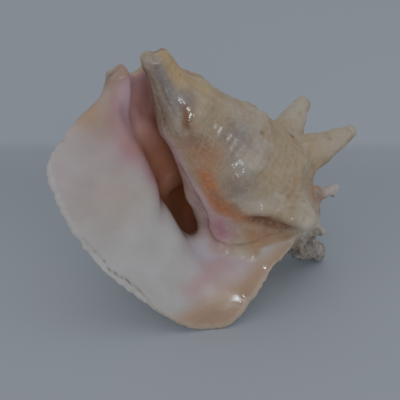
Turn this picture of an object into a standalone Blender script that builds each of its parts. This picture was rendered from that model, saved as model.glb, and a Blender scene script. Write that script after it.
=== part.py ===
# Queen-type conch shell, grown as one piece: a closed solid with the open throat of the real shell.
# Lengths are in millimetres until the last step, in the shell's own frame: x points to the lip,
# -y out of the aperture and z from the anterior tip of the canal up the axis to the apex.
import bmesh
import bpy
import numpy as np

# Size and growth
LENGTH = 215.0            # anterior tip to apex
WHORL_RATIO = 1.75        # size of a whorl over the one before it
SHOULDER_DROP = 80.0      # depth of the shoulder below the apex, half a turn before the lip
SHOULDER_RADIUS = 43.0    # its distance from the axis there
LEVEL_FROM = -0.6         # turn from which the last half whorl runs nearly level
LEVEL_PACE = 0.25         # pace of its drop from there
APEX_TURN = -8.0          # where the spire starts
SUTURE_TUCK = 7.0         # how far a whorl covers the shoulder of the one before
RAMP_HOLLOW = 2.2         # sag of the ramp between suture and shoulder

# Offset of the coiling axis toward the lip: heights and offsets
AXIS_Z = [0, 12, 24, 40, 63, 90, 112, 135, 165, 215]
AXIS_X = [1, 3, 6, 7, 6.5, 5.5, 4.5, 3.5, 2, 0]

# Outline of the body whorl: share of the way from the anterior end to the shoulder, and radius
BODY_SHARE = [0, 0.06, 0.15, 0.26, 0.38, 0.50, 0.62, 0.74, 0.86, 0.94, 1]
BODY_LEFT = [8.5, 9.3, 11.3, 17, 21.5, 26.5, 31.5, 36, 39.5, 42, 43]
LIP_SHARE = [0, 0.07, 0.24, 0.47, 0.68, 0.79, 0.90, 1]
BODY_LIP = [25, 30, 34.5, 43, 51.5, 55, 57.5, 56.9]
CORDS = [(0.30, 2.0, 0.05), (0.62, 2.2, 0.05)]     # share, height and half-width of the low cords

# Shoulder spines: turn, length, tilt to the apex in degrees, half-width of the foot and how hollow
# the sides are. A negative length is a dip between two spines.
SPINES = [
    (-0.045, 36.0, 45.0, 14.0, 1.35),
    (-0.17, 34.0, 26.0, 13.5, 1.35),
    (-0.29, 32.0, 18.0, 12.5, 1.35),
    (-0.403, 32.0, 2.0, 11.5, 1.2),
    (-0.51, 30.0, 12.0, 11.5, 1.3),
    (-0.62, -6.5, 20.0, 13.0, 1.0),
    (-0.73, 19.0, -28.0, 11.5, 1.2),
    (-0.87, 7.0, 0.0, 8.0, 1.35),
    (-1.50, 23.0, 18.0, 5.6, 0.8),
]
FOOT_REACH = 1.35         # reach of a spine's foot, in half-widths
TIP_REACH = 0.30          # reach of its blunt tip
SPIRE_SPINE_STEP = 0.13
SPIRE_SPINE_LENGTH = 14.0
SPIRE_SPINE_WIDTH = 9.0
SPIRE_SPINE_HOLLOW = 1.35
SPIRE_SPINE_END = -3.6

# Rim of the lip from the spire round to the canal: share along it, x, distance forward, height
RIM = np.array([
    (0.00, -5, 35, 152),
    (0.06, 9, 40, 151.5),
    (0.12, 24, 41.5, 155),
    (0.18, 40, 44, 157),
    (0.25, 57, 46.5, 160),
    (0.31, 72, 47, 161),
    (0.37, 85, 43.5, 154.5),
    (0.44, 96, 40, 139),
    (0.52, 102, 33, 117),
    (0.60, 107, 25, 88),
    (0.68, 108, 17.7, 67),
    (0.75, 105, 10.6, 46.5),
    (0.81, 100, 5.0, 29),
    (0.86, 94, 0.7, 17),
    (0.90, 86, -1.5, 10.6),
    (0.93, 74, -2.4, 7.8),
    (0.955, 57, -2.8, 7.4),
    (0.975, 45, -3.5, 5.5),
    (0.99, 35, -5, -1.0),
    (1.00, 27, -6.5, -3.5),
])
RAMP_SHARE = 0.25         # share of the lip that continues the ramp
WALL = 4.6                # thickness of the shell wall
RIM_WALL = 2.6            # and at the rim

# Blunt end of the pillar, and the glaze that rounds off the throat's upper end: two ends, a radius,
# and the reach within which it is melted into the walls
TIP_HEIGHT = 2.0
TIP_SLANT = 5.0           # it slants up by this on its left
NOTCH = 17.0              # how far the canal is cut back behind the pillar
LOBE = 6.5                # how far the lobe by the lip stands down
BRIDGE = [(52, 8, 130), (32, 25, 147)]
BRIDGE_RADIUS = 9.0
MELT_REACH = 24.0
MELT_STEPS = 50

# Hollow of the last whorl and the pillar in it
DEEP_TURN = -0.58
PILLAR_Z = [-5, 0, 20, 60, 100, 125, 145, 160, 175]
PILLAR_R = [5, 5.5, 6.5, 9.5, 14, 18, 23, 28, 31]

# Broad face of the pillar toward the lip, and the floor of the canal: heights and thicknesses
FACE_Z = [0, 20, 60, 100, 125, 145, 175]
FACE_R = [1, 2, 4, 9, 13, 6, 0]
FACE_TURN = -0.02
FACE_WIDTH = 0.075
FILL_Z = [0, 15, 35, 60, 80, 90, 102, 175]
FILL = [0.5, 2, 8, 14, 18, 16, 2, 0]

# Pose: the shell lies on its apex, the low corner of the lip and its last spine
AXIS_TILT = np.radians(39.0)      # of the axis out of the picture plane
VIEW_DROP = np.radians(30.0)      # of the sight line below level
AXIS_SLOPE = np.radians(48.99)    # of the axis in the picture, below level

# Detail of the solid
VOXEL = 1.7
TRIANGLES = 9400
FLAT_CUT = 0.35           # depth worn off the points it rests on
MM = 0.001


def ease(x, a, b):
    """Smooth step from 0 at a to 1 at b."""
    t = np.clip((x - a) / (b - a), 0, 1)
    return t * t * (3 - 2 * t)


def curve(x, xs, ys):
    """Smooth curve through the given points."""
    xs = np.asarray(xs, float)
    ys = np.asarray(ys, float)
    slope = np.gradient(ys, xs, axis=0)
    x = np.clip(x, xs[0], xs[-1])
    k = np.clip(np.searchsorted(xs, x, side="right") - 1, 0, len(xs) - 2)
    h = xs[k + 1] - xs[k]
    t = (x - xs[k]) / h
    if ys.ndim == 2:
        h = h[..., None]
        t = t[..., None]
    a = (2 * t**3 - 3 * t**2 + 1) * ys[k] + (t**3 - 2 * t**2 + t) * h * slope[k]
    b = (3 * t**2 - 2 * t**3) * ys[k + 1] + (t**3 - t**2) * h * slope[k + 1]
    return a + b


def coil(q, r, z):
    """Point at q turns round the axis, r from it and z up it; whole turns lie on the lip side."""
    angle = 2 * np.pi * q
    x = r * np.cos(angle) + curve(z, AXIS_Z, AXIS_X)
    return np.stack(np.broadcast_arrays(x, -r * np.sin(angle), z), -1)


def whorl_size(q):
    """Size of the growing shell at q turns, 1 half a turn before the lip."""
    return WHORL_RATIO ** (q + 0.5)


def shoulder(q):
    """Radius and height of the shoulder."""
    level = np.where(q > LEVEL_FROM, LEVEL_FROM + LEVEL_PACE * (q - LEVEL_FROM), q)
    return SHOULDER_RADIUS * whorl_size(q), LENGTH - SHOULDER_DROP * whorl_size(level)


def suture(q):
    """Radius and height of the line where a whorl meets the one before."""
    r, z = shoulder(q - 1)
    return r, z - SUTURE_TUCK * whorl_size(q)


def body_radius(q, share):
    """Radius of the body whorl at a share of the height of its shoulder."""
    rs = shoulder(q)[0]
    left = curve(share, BODY_SHARE, BODY_LEFT)
    lip = curve(share, LIP_SHARE, BODY_LIP)
    early = left * (1 + (rs / SHOULDER_RADIUS - 1) * np.clip(share, 0, 1) ** 5)
    late = left * rs / SHOULDER_RADIUS
    turned = ease(q, -0.46, 0.0)
    r = np.where(q < -0.5, early, late * (1 - turned) + lip * turned)
    for at, height, half in CORDS:
        r = r + height * np.exp(-(((share - at) / half) ** 2))
    return r


def pillar_end(q):
    """Height of the pillar's end, lowest on the lip's side."""
    return TIP_HEIGHT - TIP_SLANT * np.cos(2 * np.pi * q)


def canal_end(q):
    """Height of the free anterior edge: the pillar's end, the notch behind it and the lobe."""
    free = ease(q, -0.44, -0.34)
    notch = NOTCH * free * (1 - ease(q, -0.20, -0.04))
    return pillar_end(q) * (1 - free) + TIP_HEIGHT * free + notch - LOBE * ease(q, -0.13, -0.02)


def trough_fill(q, z):
    """Extra wall behind the canal, which is its floor."""
    return np.interp(z, FILL_Z, FILL) * ease(q, -0.56, -0.42) * (1 - ease(q, -0.11, -0.01))


def whorl(q, t):
    """Outer face at t: 0 at the suture, 1 at the shoulder and 3 at the anterior end."""
    q, t = np.broadcast_arrays(np.asarray(q, float), np.asarray(t, float))
    rs, zs = shoulder(q)
    ru, zu = suture(q)
    a = np.clip(t, 0, 1)
    sag = RAMP_HOLLOW * whorl_size(q) * np.sin(np.pi * a)
    z_end = canal_end(q)
    z_body = zs + (z_end - zs) * np.clip(t - 1, 0, 2) / 2
    share = z_body / zs
    buried = ease(-q, 0.935, 0.975) * ease(1 - share, 0.02, 0.12)
    r_body = body_radius(q, share) * (1 - 0.55 * buried)
    r = np.where(t > 1, r_body, ru + (rs - ru) * a - sag)
    z = np.where(t > 1, z_body, zu + (zs - zu) * a - sag)
    return coil(q, r, z)


def spine_list():
    """All spines: the large ones and the row that shrinks up the spire."""
    rows = list(SPINES)
    q = -1.02
    while q > SPIRE_SPINE_END:
        if abs(q + 1.50) > 0.5 * SPIRE_SPINE_STEP:
            s = whorl_size(q)
            rows.append((q, SPIRE_SPINE_LENGTH * s, 16.0, SPIRE_SPINE_WIDTH * s, SPIRE_SPINE_HOLLOW))
        q -= SPIRE_SPINE_STEP
    return rows


def raise_spines(q, points):
    """Draws the wall out into the spines."""
    out = points.copy()
    for turn, length, tilt, half, hollow in spine_list():
        r, z = shoulder(np.float64(turn))
        centre = coil(np.float64(turn), r, z - 1.0)
        reach = np.linalg.norm(points - centre, axis=-1) / half
        lift = np.clip((FOOT_REACH - reach) / (FOOT_REACH - TIP_REACH), 0, 1) ** hollow
        lift = lift * (np.abs(q - turn) < 0.2)
        angle = 2 * np.pi * turn
        up = np.radians(tilt)
        aim = np.array([np.cos(up) * np.cos(angle), -np.cos(up) * np.sin(angle), np.sin(up)])
        out += (length * lift)[..., None] * aim
    return out


def lip_face(u, t):
    """Outer face of the lip: u 0 on the whorl and 1 at the rim, t along the rim."""
    u, t = np.broadcast_arrays(np.asarray(u, float), np.asarray(t, float))
    on_whorl = whorl_share(t)
    step = 1e-3
    start = whorl(0 * t, on_whorl)
    leave = whorl(0 * t + step, on_whorl) - whorl(0 * t - step, on_whorl)
    leave /= np.linalg.norm(leave, axis=-1, keepdims=True)
    rim = curve(t, RIM[:, 0], RIM[:, 1:])
    rim = rim * np.array([1.0, -1.0, 1.0])
    span = np.linalg.norm(rim - start, axis=-1, keepdims=True)
    flare = rim - start
    flare[..., 1] *= 0.25
    flare /= np.linalg.norm(flare, axis=-1, keepdims=True)
    around = np.stack([rim[..., 1], -rim[..., 0], 0 * t], -1)
    around /= np.linalg.norm(around, axis=-1, keepdims=True)
    hug = (1 - ease(t, 0.0, 0.25))[..., None]
    arrive = flare * (1 - hug) + around * hug
    arrive /= np.linalg.norm(arrive, axis=-1, keepdims=True)
    rise = np.clip(0.25 * (start[..., 2:] - 15) + 1, 1.5, 21)
    first = rise * (1 - hug) + 0.40 * span * hug
    last = 0.50 * span * (1 - hug) + 0.35 * span * hug
    p1 = start + leave * first
    p2 = rim - arrive * last
    u = u[..., None]
    return (1 - u) ** 3 * start + 3 * (1 - u) ** 2 * u * p1 + 3 * (1 - u) * u**2 * p2 + u**3 * rim


def whorl_share(t):
    """Place on the whorl that goes with t along the lip."""
    return np.where(t < RAMP_SHARE, t / RAMP_SHARE, 1 + 2 * (t - RAMP_SHARE) / (1 - RAMP_SHARE))


def facing(grid):
    """Unit normals of a grid of points."""
    n = np.cross(np.gradient(grid, axis=0), np.gradient(grid, axis=1))
    return n / (np.linalg.norm(n, axis=-1, keepdims=True) + 1e-12)


def band(a, b, steps=3):
    """Strip of surface between two lines of points."""
    s = np.linspace(0, 1, steps)[:, None, None]
    return a[None] * (1 - s) + b[None] * s


def rod(a, b, radius, around=24, steps=18):
    """Round-ended rod between two points."""
    axis = (b - a) / np.linalg.norm(b - a)
    side = np.cross(axis, [0.0, 0.0, 1.0])
    side /= np.linalg.norm(side)
    turn = np.linspace(0, 2 * np.pi, around)[None, :, None]
    lean = np.linspace(-np.pi / 2, np.pi / 2, steps)[:, None, None]
    centre = np.where(lean < 0, a, b)
    ring = side * np.cos(turn) + np.cross(axis, side) * np.sin(turn)
    return centre + radius * (np.cos(lean) * ring + np.sin(lean) * axis)


def ventral_radius(q, z):
    """Radius of the whorl before at a height, up to its shoulder and on along its ramp."""
    rs, zs = shoulder(q)
    ru, zu = suture(q)
    on_body = body_radius(q, np.clip(z / zs, 0, 1))
    above = np.clip((z - zs) / (zu - zs), 0, 1)
    return np.where(z > zs, rs + (ru - rs) * above - 1.5, on_body)


def shell_sheets(columns=360, rows=150, lip_steps=50):
    """Sheets that together wall off the solid from the open air outside and in the throat."""
    sheets = []
    q = np.linspace(APEX_TURN, -0.98, int(columns * 2.2))[:, None]
    t = np.concatenate([np.linspace(0, 1, 9)[:-1], np.linspace(1, 1.45, 7)])[None, :]
    sheets.append(raise_spines(q, whorl(q, t)))

    turns = np.linspace(-1, 0, columns)
    along = np.linspace(0, 1, rows)
    on_whorl = whorl_share(along)
    out_to_rim = np.linspace(0, 1, lip_steps + 1)[1:]
    body = whorl(turns[:, None], on_whorl[None, :])
    lip = lip_face(out_to_rim[:, None], along[None, :])
    smooth_outer = np.concatenate([body, lip])

    inward = facing(smooth_outer)
    if np.sum(inward[columns // 2, :, :2] * smooth_outer[columns // 2, :, :2]) > 0:
        inward = -inward
    to_rim = ease(np.concatenate([turns * 0, out_to_rim]), 0.15, 1.0)
    grown = np.concatenate([turns, out_to_rim])[:, None]
    wall = ((WALL + (RIM_WALL - WALL) * to_rim)[:, None] + trough_fill(grown, smooth_outer[..., 2]))[..., None]
    first = np.searchsorted(turns, DEEP_TURN)
    inner = (smooth_outer + inward * wall)[first:]

    outer = np.concatenate([
        raise_spines(turns[:, None], body),
        raise_spines(np.zeros((lip_steps, 1)), lip),
    ])
    sheets.append(outer)
    sheets.append(inner)
    sheets.append(band(outer[-1], inner[-1]))
    sheets.append(band(outer[columns - 1:, 0], inner[columns - 1 - first:, 0]))
    sheets.append(band(outer[first:, -1], inner[:, -1]))

    tip_end = np.searchsorted(turns, -0.33)
    tip = outer[:tip_end, -1]
    sheets.append(band(tip, 0 * tip + coil(0.0, 0.0, TIP_HEIGHT)))
    back = inner[0]
    centre = coil(0.0, 0.0, back[:, 2])
    sheets.append(band(back, centre, 6))

    q, up = np.meshgrid(np.linspace(DEEP_TURN - 0.02, 0.33, 120), np.linspace(0, 1, 75), indexing="ij")
    z = pillar_end(q) + (172 - pillar_end(q)) * up
    pillar = curve(z, PILLAR_Z, PILLAR_R)
    broad = curve(z, FACE_Z, FACE_R) * np.exp(-(((q - FACE_TURN) / FACE_WIDTH) ** 2))
    front = ventral_radius(q - 1, z)
    glaze = 0.8 * ease(q, 0.02, 0.08) * (1 - ease(q, 0.22, 0.31)) - 1.5 * ease(q, 0.25, 0.33)
    outward = ease(q, -0.07, 0.06)
    column = coil(q, pillar * (1 - outward) + (front + glaze) * outward + broad, z)
    sheets.append(column)
    foot = column[:, 0]
    sheets.append(band(foot, 0 * foot + coil(0.0, 0.0, TIP_HEIGHT)))
    sheets.append(rod(*np.array(BRIDGE) * [1.0, -1.0, 1.0], BRIDGE_RADIUS))
    return sheets


def sheet_mesh(sheets):
    """One mesh of all the sheets."""
    points, faces, base = [], [], 0
    for grid in sheets:
        n, m = grid.shape[:2]
        i = np.arange(n * m).reshape(n, m)
        quads = np.stack([i[:-1, :-1], i[1:, :-1], i[1:, 1:], i[:-1, 1:]], -1).reshape(-1, 4)
        points.append(grid.reshape(-1, 3))
        faces.append(quads + base)
        base += n * m
    mesh = bpy.data.meshes.new("sheets")
    mesh.from_pydata(np.concatenate(points).tolist(), [], np.concatenate(faces).tolist())
    return mesh


def with_modifiers(mesh, setup):
    """The mesh after the modifiers that setup adds."""
    work = bpy.data.objects.new("work", mesh)
    bpy.context.scene.collection.objects.link(work)
    setup(work)
    bpy.context.view_layer.update()
    seen = work.evaluated_get(bpy.context.evaluated_depsgraph_get())
    result = bpy.data.meshes.new_from_object(seen)
    bpy.data.objects.remove(work)
    return result


def solidify(work):
    """Fills everything that the air outside can't reach, then takes off the steps of the cells."""
    fill = work.modifiers.new("fill", "REMESH")
    fill.mode = "VOXEL"
    fill.voxel_size = VOXEL
    even = work.modifiers.new("even", "SMOOTH")
    even.factor = 0.5
    even.iterations = 5


def melt_bridge(work):
    """Smooths the glaze at the throat's upper end into the walls beside it."""
    points = points_of(work.data)
    a, b = np.array(BRIDGE) * [1.0, -1.0, 1.0]
    along = np.clip((points - a) @ (b - a) / np.dot(b - a, b - a), 0, 1)
    away = np.linalg.norm(points - a - along[:, None] * (b - a), axis=-1)
    weight = 1 - ease(away, 0.5 * MELT_REACH, MELT_REACH)
    near = work.vertex_groups.new(name="glaze")
    for i in np.flatnonzero(weight > 0.01):
        near.add([int(i)], float(weight[i]), "REPLACE")
    melt = work.modifiers.new("melt", "SMOOTH")
    melt.factor = 0.5
    melt.iterations = MELT_STEPS
    melt.vertex_group = near.name


def thin_out(work):
    """Brings the solid down to its number of triangles."""
    triangles = sum(len(p.vertices) - 2 for p in work.data.polygons)
    fewer = work.modifiers.new("fewer", "DECIMATE")
    fewer.ratio = TRIANGLES / triangles
    fewer.use_collapse_triangulate = True


def pose_matrix():
    """Turn from the shell's frame to the world: lying on apex, lip and last spine."""
    ct, st = np.cos(AXIS_TILT), np.sin(AXIS_TILT)
    ca, sa = np.cos(AXIS_SLOPE), np.sin(AXIS_SLOPE)
    axis = np.array([ct * ca, -ct * sa, -st])
    lip = np.array([-sa, -ca, 0.0])
    front = np.array([st * ca, -st * sa, ct])
    cd, sd = np.cos(VIEW_DROP), np.sin(VIEW_DROP)
    view = np.array([[1, 0, 0], [0, sd, -cd], [0, cd, sd]])
    return view @ np.stack([lip, -front, axis], 1)


def points_of(mesh):
    """Vertex positions as an array."""
    flat = np.empty(3 * len(mesh.vertices), np.float32)
    mesh.vertices.foreach_get("co", flat)
    return flat.reshape(-1, 3).astype(float)


def lay_down(mesh):
    """Turns the mesh into its resting pose with the middle of its box over the origin."""
    p = points_of(mesh) @ pose_matrix().T
    low, high = p.min(0), p.max(0)
    shift = -np.array([(low[0] + high[0]) / 2, (low[1] + high[1]) / 2, low[2] + FLAT_CUT])
    mesh.vertices.foreach_set("co", ((p + shift) * MM).astype(np.float32).ravel())
    mesh.update()
    return shift


def wear_flat(mesh):
    """Cuts the small worn flats on the points that touch the ground."""
    bm = bmesh.new()
    bm.from_mesh(mesh)
    everything = bm.verts[:] + bm.edges[:] + bm.faces[:]
    cut = bmesh.ops.bisect_plane(
        bm, geom=everything, dist=1e-6, plane_co=(0, 0, 0), plane_no=(0, 0, -1), clear_outer=True
    )
    rims = [e for e in cut["geom_cut"] if isinstance(e, bmesh.types.BMEdge)]
    bmesh.ops.edgeloop_fill(bm, edges=rims)
    bmesh.ops.triangulate(bm, faces=bm.faces[:])
    bmesh.ops.recalc_face_normals(bm, faces=bm.faces[:])
    bm.to_mesh(mesh)
    bm.free()


def shell_material():
    """Pale warm shell, satin."""
    material = bpy.data.materials.new("shell")
    material.use_nodes = True
    skin = material.node_tree.nodes["Principled BSDF"]
    skin.inputs["Base Color"].default_value = (0.72, 0.60, 0.48, 1)
    skin.inputs["Roughness"].default_value = 0.4
    return material


for old in list(bpy.data.objects):
    bpy.data.objects.remove(old)

body_mesh = with_modifiers(sheet_mesh(shell_sheets()), solidify)
body_mesh = with_modifiers(body_mesh, melt_bridge)
body_mesh = with_modifiers(body_mesh, thin_out)
placed_at = lay_down(body_mesh)
wear_flat(body_mesh)
body_mesh.materials.clear()
body_mesh.materials.append(shell_material())
shell = bpy.data.objects.new("conch_shell", body_mesh)
bpy.context.scene.collection.objects.link(shell)
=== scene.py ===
# %% [markdown]
# # A conch shell, grown and then painted
# The shell is one piece that an animal grew by adding a little to its rim each week. So its shape is
# best written as a function of how far round the coil a point lies and how far down the wall. This
# lesson works that surface out with numpy, fills it into a solid, wears it, and paints it with nodes.
#
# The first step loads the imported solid. The finished shell has to fit the same box.

import bmesh
import bpy
import numpy as np
from mathutils import Matrix, Vector


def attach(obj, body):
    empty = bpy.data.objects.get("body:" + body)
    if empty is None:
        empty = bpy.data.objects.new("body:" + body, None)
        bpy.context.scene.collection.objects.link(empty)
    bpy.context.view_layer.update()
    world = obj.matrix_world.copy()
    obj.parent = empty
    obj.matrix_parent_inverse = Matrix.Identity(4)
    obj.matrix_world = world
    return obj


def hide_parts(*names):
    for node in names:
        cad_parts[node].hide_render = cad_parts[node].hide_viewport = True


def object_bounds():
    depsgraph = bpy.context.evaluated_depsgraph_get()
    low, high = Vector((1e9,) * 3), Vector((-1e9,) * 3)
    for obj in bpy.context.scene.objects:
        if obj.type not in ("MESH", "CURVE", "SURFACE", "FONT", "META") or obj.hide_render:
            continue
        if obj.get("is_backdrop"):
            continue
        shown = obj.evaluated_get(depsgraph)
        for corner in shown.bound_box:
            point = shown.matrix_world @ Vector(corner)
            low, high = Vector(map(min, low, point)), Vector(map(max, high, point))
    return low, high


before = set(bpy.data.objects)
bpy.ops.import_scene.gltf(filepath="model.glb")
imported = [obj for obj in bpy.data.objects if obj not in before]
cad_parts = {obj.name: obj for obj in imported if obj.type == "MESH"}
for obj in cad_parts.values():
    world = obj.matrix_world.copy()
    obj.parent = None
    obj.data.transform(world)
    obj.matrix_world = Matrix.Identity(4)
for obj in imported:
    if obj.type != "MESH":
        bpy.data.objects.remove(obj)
cad_low, cad_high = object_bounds()
print("solid's box in mm:", [round(1000 * (b - a), 1) for a, b in zip(cad_low, cad_high)])

# %% [markdown]
# ## Sizes
# Real shells are measured along the axis, from the tip of the canal to the apex. Everything here is in
# millimetres in the shell's own frame: x points to the lip, -y out of the aperture, z up the axis. A
# growing shell keeps its shape and only gets larger, so most sizes are the ratio from whorl to whorl.

# %% Driving sizes
LENGTH = 215.0            # tip of the canal to the apex
WHORL_RATIO = 1.75        # size of a whorl over the one before it
SHOULDER_DROP = 80.0      # shoulder below the apex, half a turn before the lip
SHOULDER_RADIUS = 43.0
LEVEL_FROM = -0.6         # the last half whorl runs nearly level from here
LEVEL_PACE = 0.25
APEX_TURN = -8.0
SUTURE_TUCK = 7.0         # a whorl covers this much of the shoulder before it
RAMP_HOLLOW = 2.2
WALL = 4.6
RIM_WALL = 2.4
TIP_HEIGHT = 2.0          # the pillar's blunt end, which slants up by the next value on its left
TIP_SLANT = 5.0
NOTCH = 17.0              # how far the canal is cut back behind the pillar
LOBE = 6.5                # how far the lobe by the lip stands down
DEEP_TURN = -0.58         # how far round the throat is open

CELL = 1.2     # edge of the cells that fill the shell

# %% [markdown]
# ## A few small tools
# `ease` goes smoothly from 0 to 1, `fade` from 1 to 0, and `curve` passes a smooth line through a few
# chosen points. All take whole arrays, so a surface with a hundred thousand points costs one call.

# %% Ease, fade and curve
def ease(x, a, b):
    """0 below a, 1 above b, and 3t^2 - 2t^3 between, with t the share of the way."""
    t = np.clip((x - a) / (b - a), 0, 1)
    return t * t * (3 - 2 * t)


def fade(x, a, b):
    """1 below a, 0 above b: one less the ease."""
    return 1 - ease(x, a, b)


def curve(x, xs, ys):
    """Cubic through the points (xs, ys), whose slope at a point is that of its neighbours."""
    xs = np.asarray(xs, float)
    ys = np.asarray(ys, float)
    slope = np.gradient(ys, xs, axis=0)
    x = np.clip(x, xs[0], xs[-1])
    k = np.clip(np.searchsorted(xs, x, side="right") - 1, 0, len(xs) - 2)
    h = xs[k + 1] - xs[k]
    t = (x - xs[k]) / h
    if ys.ndim == 2:
        h = h[..., None]
        t = t[..., None]
    a = (2 * t**3 - 3 * t**2 + 1) * ys[k] + (t**3 - 2 * t**2 + t) * h * slope[k]
    b = (3 * t**2 - 2 * t**3) * ys[k + 1] + (t**3 - t**2) * h * slope[k + 1]
    return a + b


def hump(x, middle, width):
    """Bell of height 1 at the middle, down to a third one width away."""
    return np.exp(-(((x - middle) / width) ** 2))


# %% [markdown]
# ## The coil
# A point is given by its turn q, its distance from the axis and its height. Turn 0 is where the lip
# leaves the whorl, and -1 is one whorl earlier. The axis itself leans a little toward the lip, since
# the canal of such a shell bends away from it.

# %% Coil, shoulder and suture
AXIS_Z = [0, 12, 24, 40, 63, 90, 112, 135, 165, 215]
AXIS_X = [1, 3, 6, 7, 6.5, 5.5, 4.5, 3.5, 2, 0]


def coil(q, r, z):
    """Turn q by 360 degrees from the lip side toward the aperture, r out from the bent axis, z up."""
    angle = 2 * np.pi * q
    x = r * np.cos(angle) + curve(z, AXIS_Z, AXIS_X)
    return np.stack(np.broadcast_arrays(x, -r * np.sin(angle), z), -1)


def whorl_size(q):
    """The whorl ratio to the power of the turns grown."""
    return WHORL_RATIO ** (q + 0.5)


def shoulder(q):
    """Radius and height of the widest line, both in proportion to the whorl's size."""
    level = np.where(q > LEVEL_FROM, LEVEL_FROM + LEVEL_PACE * (q - LEVEL_FROM), q)
    return SHOULDER_RADIUS * whorl_size(q), LENGTH - SHOULDER_DROP * whorl_size(level)


def suture(q):
    """The line where a whorl lies on the one before: that one's shoulder, a little lower."""
    r, z = shoulder(q - 1)
    return r, z - SUTURE_TUCK * whorl_size(q)


print("whorls' shoulder radii in mm:", [round(float(shoulder(q)[0]), 1) for q in (0.0, -1.0, -2.0, -3.0)])

# %% [markdown]
# ## The outline of the body
# Below the shoulder the whorl narrows to the canal. On the left it is a slim cone, while beside the
# lip the wall stays wide to leave room for the throat, so two outlines are blended as the coil turns.
# Two low cords run round it.

# %% Body outline
BODY_SHARE = [0, 0.06, 0.15, 0.26, 0.38, 0.50, 0.62, 0.74, 0.86, 0.94, 1]
BODY_LEFT = [8.5, 9.3, 11.3, 17, 21.5, 26.5, 31.5, 36, 39.5, 42, 43]
LIP_SHARE = [0, 0.07, 0.24, 0.47, 0.68, 0.79, 0.90, 1]
BODY_LIP = [25, 30, 34.5, 43, 51.5, 55, 57.5, 56.9]
CORDS = [(0.30, 2.0, 0.05), (0.62, 2.2, 0.05)]     # share of the height, how proud, half-width


def body_radius(q, share):
    """Left outline before half a turn, then a blend to the lip's outline, plus a bell at each cord."""
    rs = shoulder(q)[0]
    left = curve(share, BODY_SHARE, BODY_LEFT)
    lip = curve(share, LIP_SHARE, BODY_LIP)
    early = left * (1 + (rs / SHOULDER_RADIUS - 1) * np.clip(share, 0, 1) ** 5)
    turned = ease(q, -0.46, 0.0)
    late = left * rs / SHOULDER_RADIUS * (1 - turned) + lip * turned
    r = np.where(q < -0.5, early, late)
    for at, proud, half in CORDS:
        knobs = 1 + 0.35 * np.sin(2 * np.pi * 15 * q + 20 * at)
        r = r + proud * knobs * hump(share, at, half)
    return r


def pillar_end(q):
    """Height of the pillar's end: a cosine of the turn, lowest on the lip's side."""
    return TIP_HEIGHT - TIP_SLANT * np.cos(2 * np.pi * q)


def canal_end(q):
    """Height of the free lower edge: the pillar's end, then the notch, then the lobe by the lip."""
    free = ease(q, -0.44, -0.34)
    notch = NOTCH * free * fade(q, -0.20, -0.04)
    return pillar_end(q) * (1 - free) + TIP_HEIGHT * free + notch - LOBE * ease(q, -0.13, -0.02)


def whorl(q, t):
    """Outer face: t 0 to 1 down the ramp from suture to shoulder, 1 to 3 down the body to its end."""
    q, t = np.broadcast_arrays(np.asarray(q, float), np.asarray(t, float))
    rs, zs = shoulder(q)
    ru, zu = suture(q)
    a = np.clip(t, 0, 1)
    sag = RAMP_HOLLOW * whorl_size(q) * np.sin(np.pi * a)
    z_body = zs + (canal_end(q) - zs) * np.clip(t - 1, 0, 2) / 2
    share = z_body / zs
    buried = ease(-q, 0.935, 0.975) * ease(1 - share, 0.02, 0.12)
    r_body = body_radius(q, share) * (1 - 0.55 * buried)
    r = np.where(t > 1, r_body, ru + (rs - ru) * a - sag)
    z = np.where(t > 1, z_body, zu + (zs - zu) * a - sag)
    return coil(q, r, z)


# %% [markdown]
# ## Spines
# The animal draws its rim out into a gutter now and then, and each gutter stays behind as a spine on
# the shoulder. Here the wall round a point of the shoulder is pulled outward: fully under the blunt
# tip, and less and less toward the edge of the foot, which leaves hollow sides.

# %% Spines
# turn, length, tilt to the apex in degrees, half-width of the foot, how hollow its sides are; a
# negative length is a dip between two spines
SPINES = [
    (-0.045, 36.0, 45.0, 14.0, 1.35),
    (-0.17, 34.0, 26.0, 13.5, 1.35),
    (-0.29, 32.0, 18.0, 12.5, 1.35),
    (-0.403, 32.0, 2.0, 11.5, 1.2),
    (-0.51, 30.0, 12.0, 11.5, 1.3),
    (-0.62, -6.5, 20.0, 13.0, 1.0),
    (-0.73, 19.0, -28.0, 11.5, 1.2),
    (-0.87, 7.0, 0.0, 8.0, 1.35),
    (-1.50, 9.0, 18.0, 5.6, 0.8),
]
# rods that fill out what a pulled wall leaves too thin, given by their ends and radius
BROKEN_SPINE = np.array([(-23.0, 0.0, 169.3), (-40.5, 0.0, 175.6)])     # a stump on the whorl before
BROKEN_RADIUS = 3.5
BLUNT_SPINE = np.array([(-45.2, 34.0, 136.7), (-56.0, 41.6, 137.2)])
BLUNT_RADIUS = 5.4
BEHIND_FLAP = np.array([(12.0, -35.0, 131.0), (2.0, -42.0, 130.5)])     # between the lip's flap and its ridge
BEHIND_RADIUS = 6.0
FOOT_REACH = 1.35
TIP_REACH = 0.30
SPIRE_STEP = 0.13
SPIRE_SPINE = (14.0, 16.0, 9.0, 1.35)     # length, tilt, half-width and hollow, at the last whorl's size
SPIRE_END = -4.2


def spine_list():
    """The large spines, and a row up the spire in proportion to the whorls."""
    rows = list(SPINES)
    for q in np.arange(-1.02, SPIRE_END, -SPIRE_STEP):
        if abs(q + 1.50) > 0.5 * SPIRE_STEP:
            s = whorl_size(q)
            rows.append((q, SPIRE_SPINE[0] * s, SPIRE_SPINE[1], SPIRE_SPINE[2] * s, SPIRE_SPINE[3]))
    return rows


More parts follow.
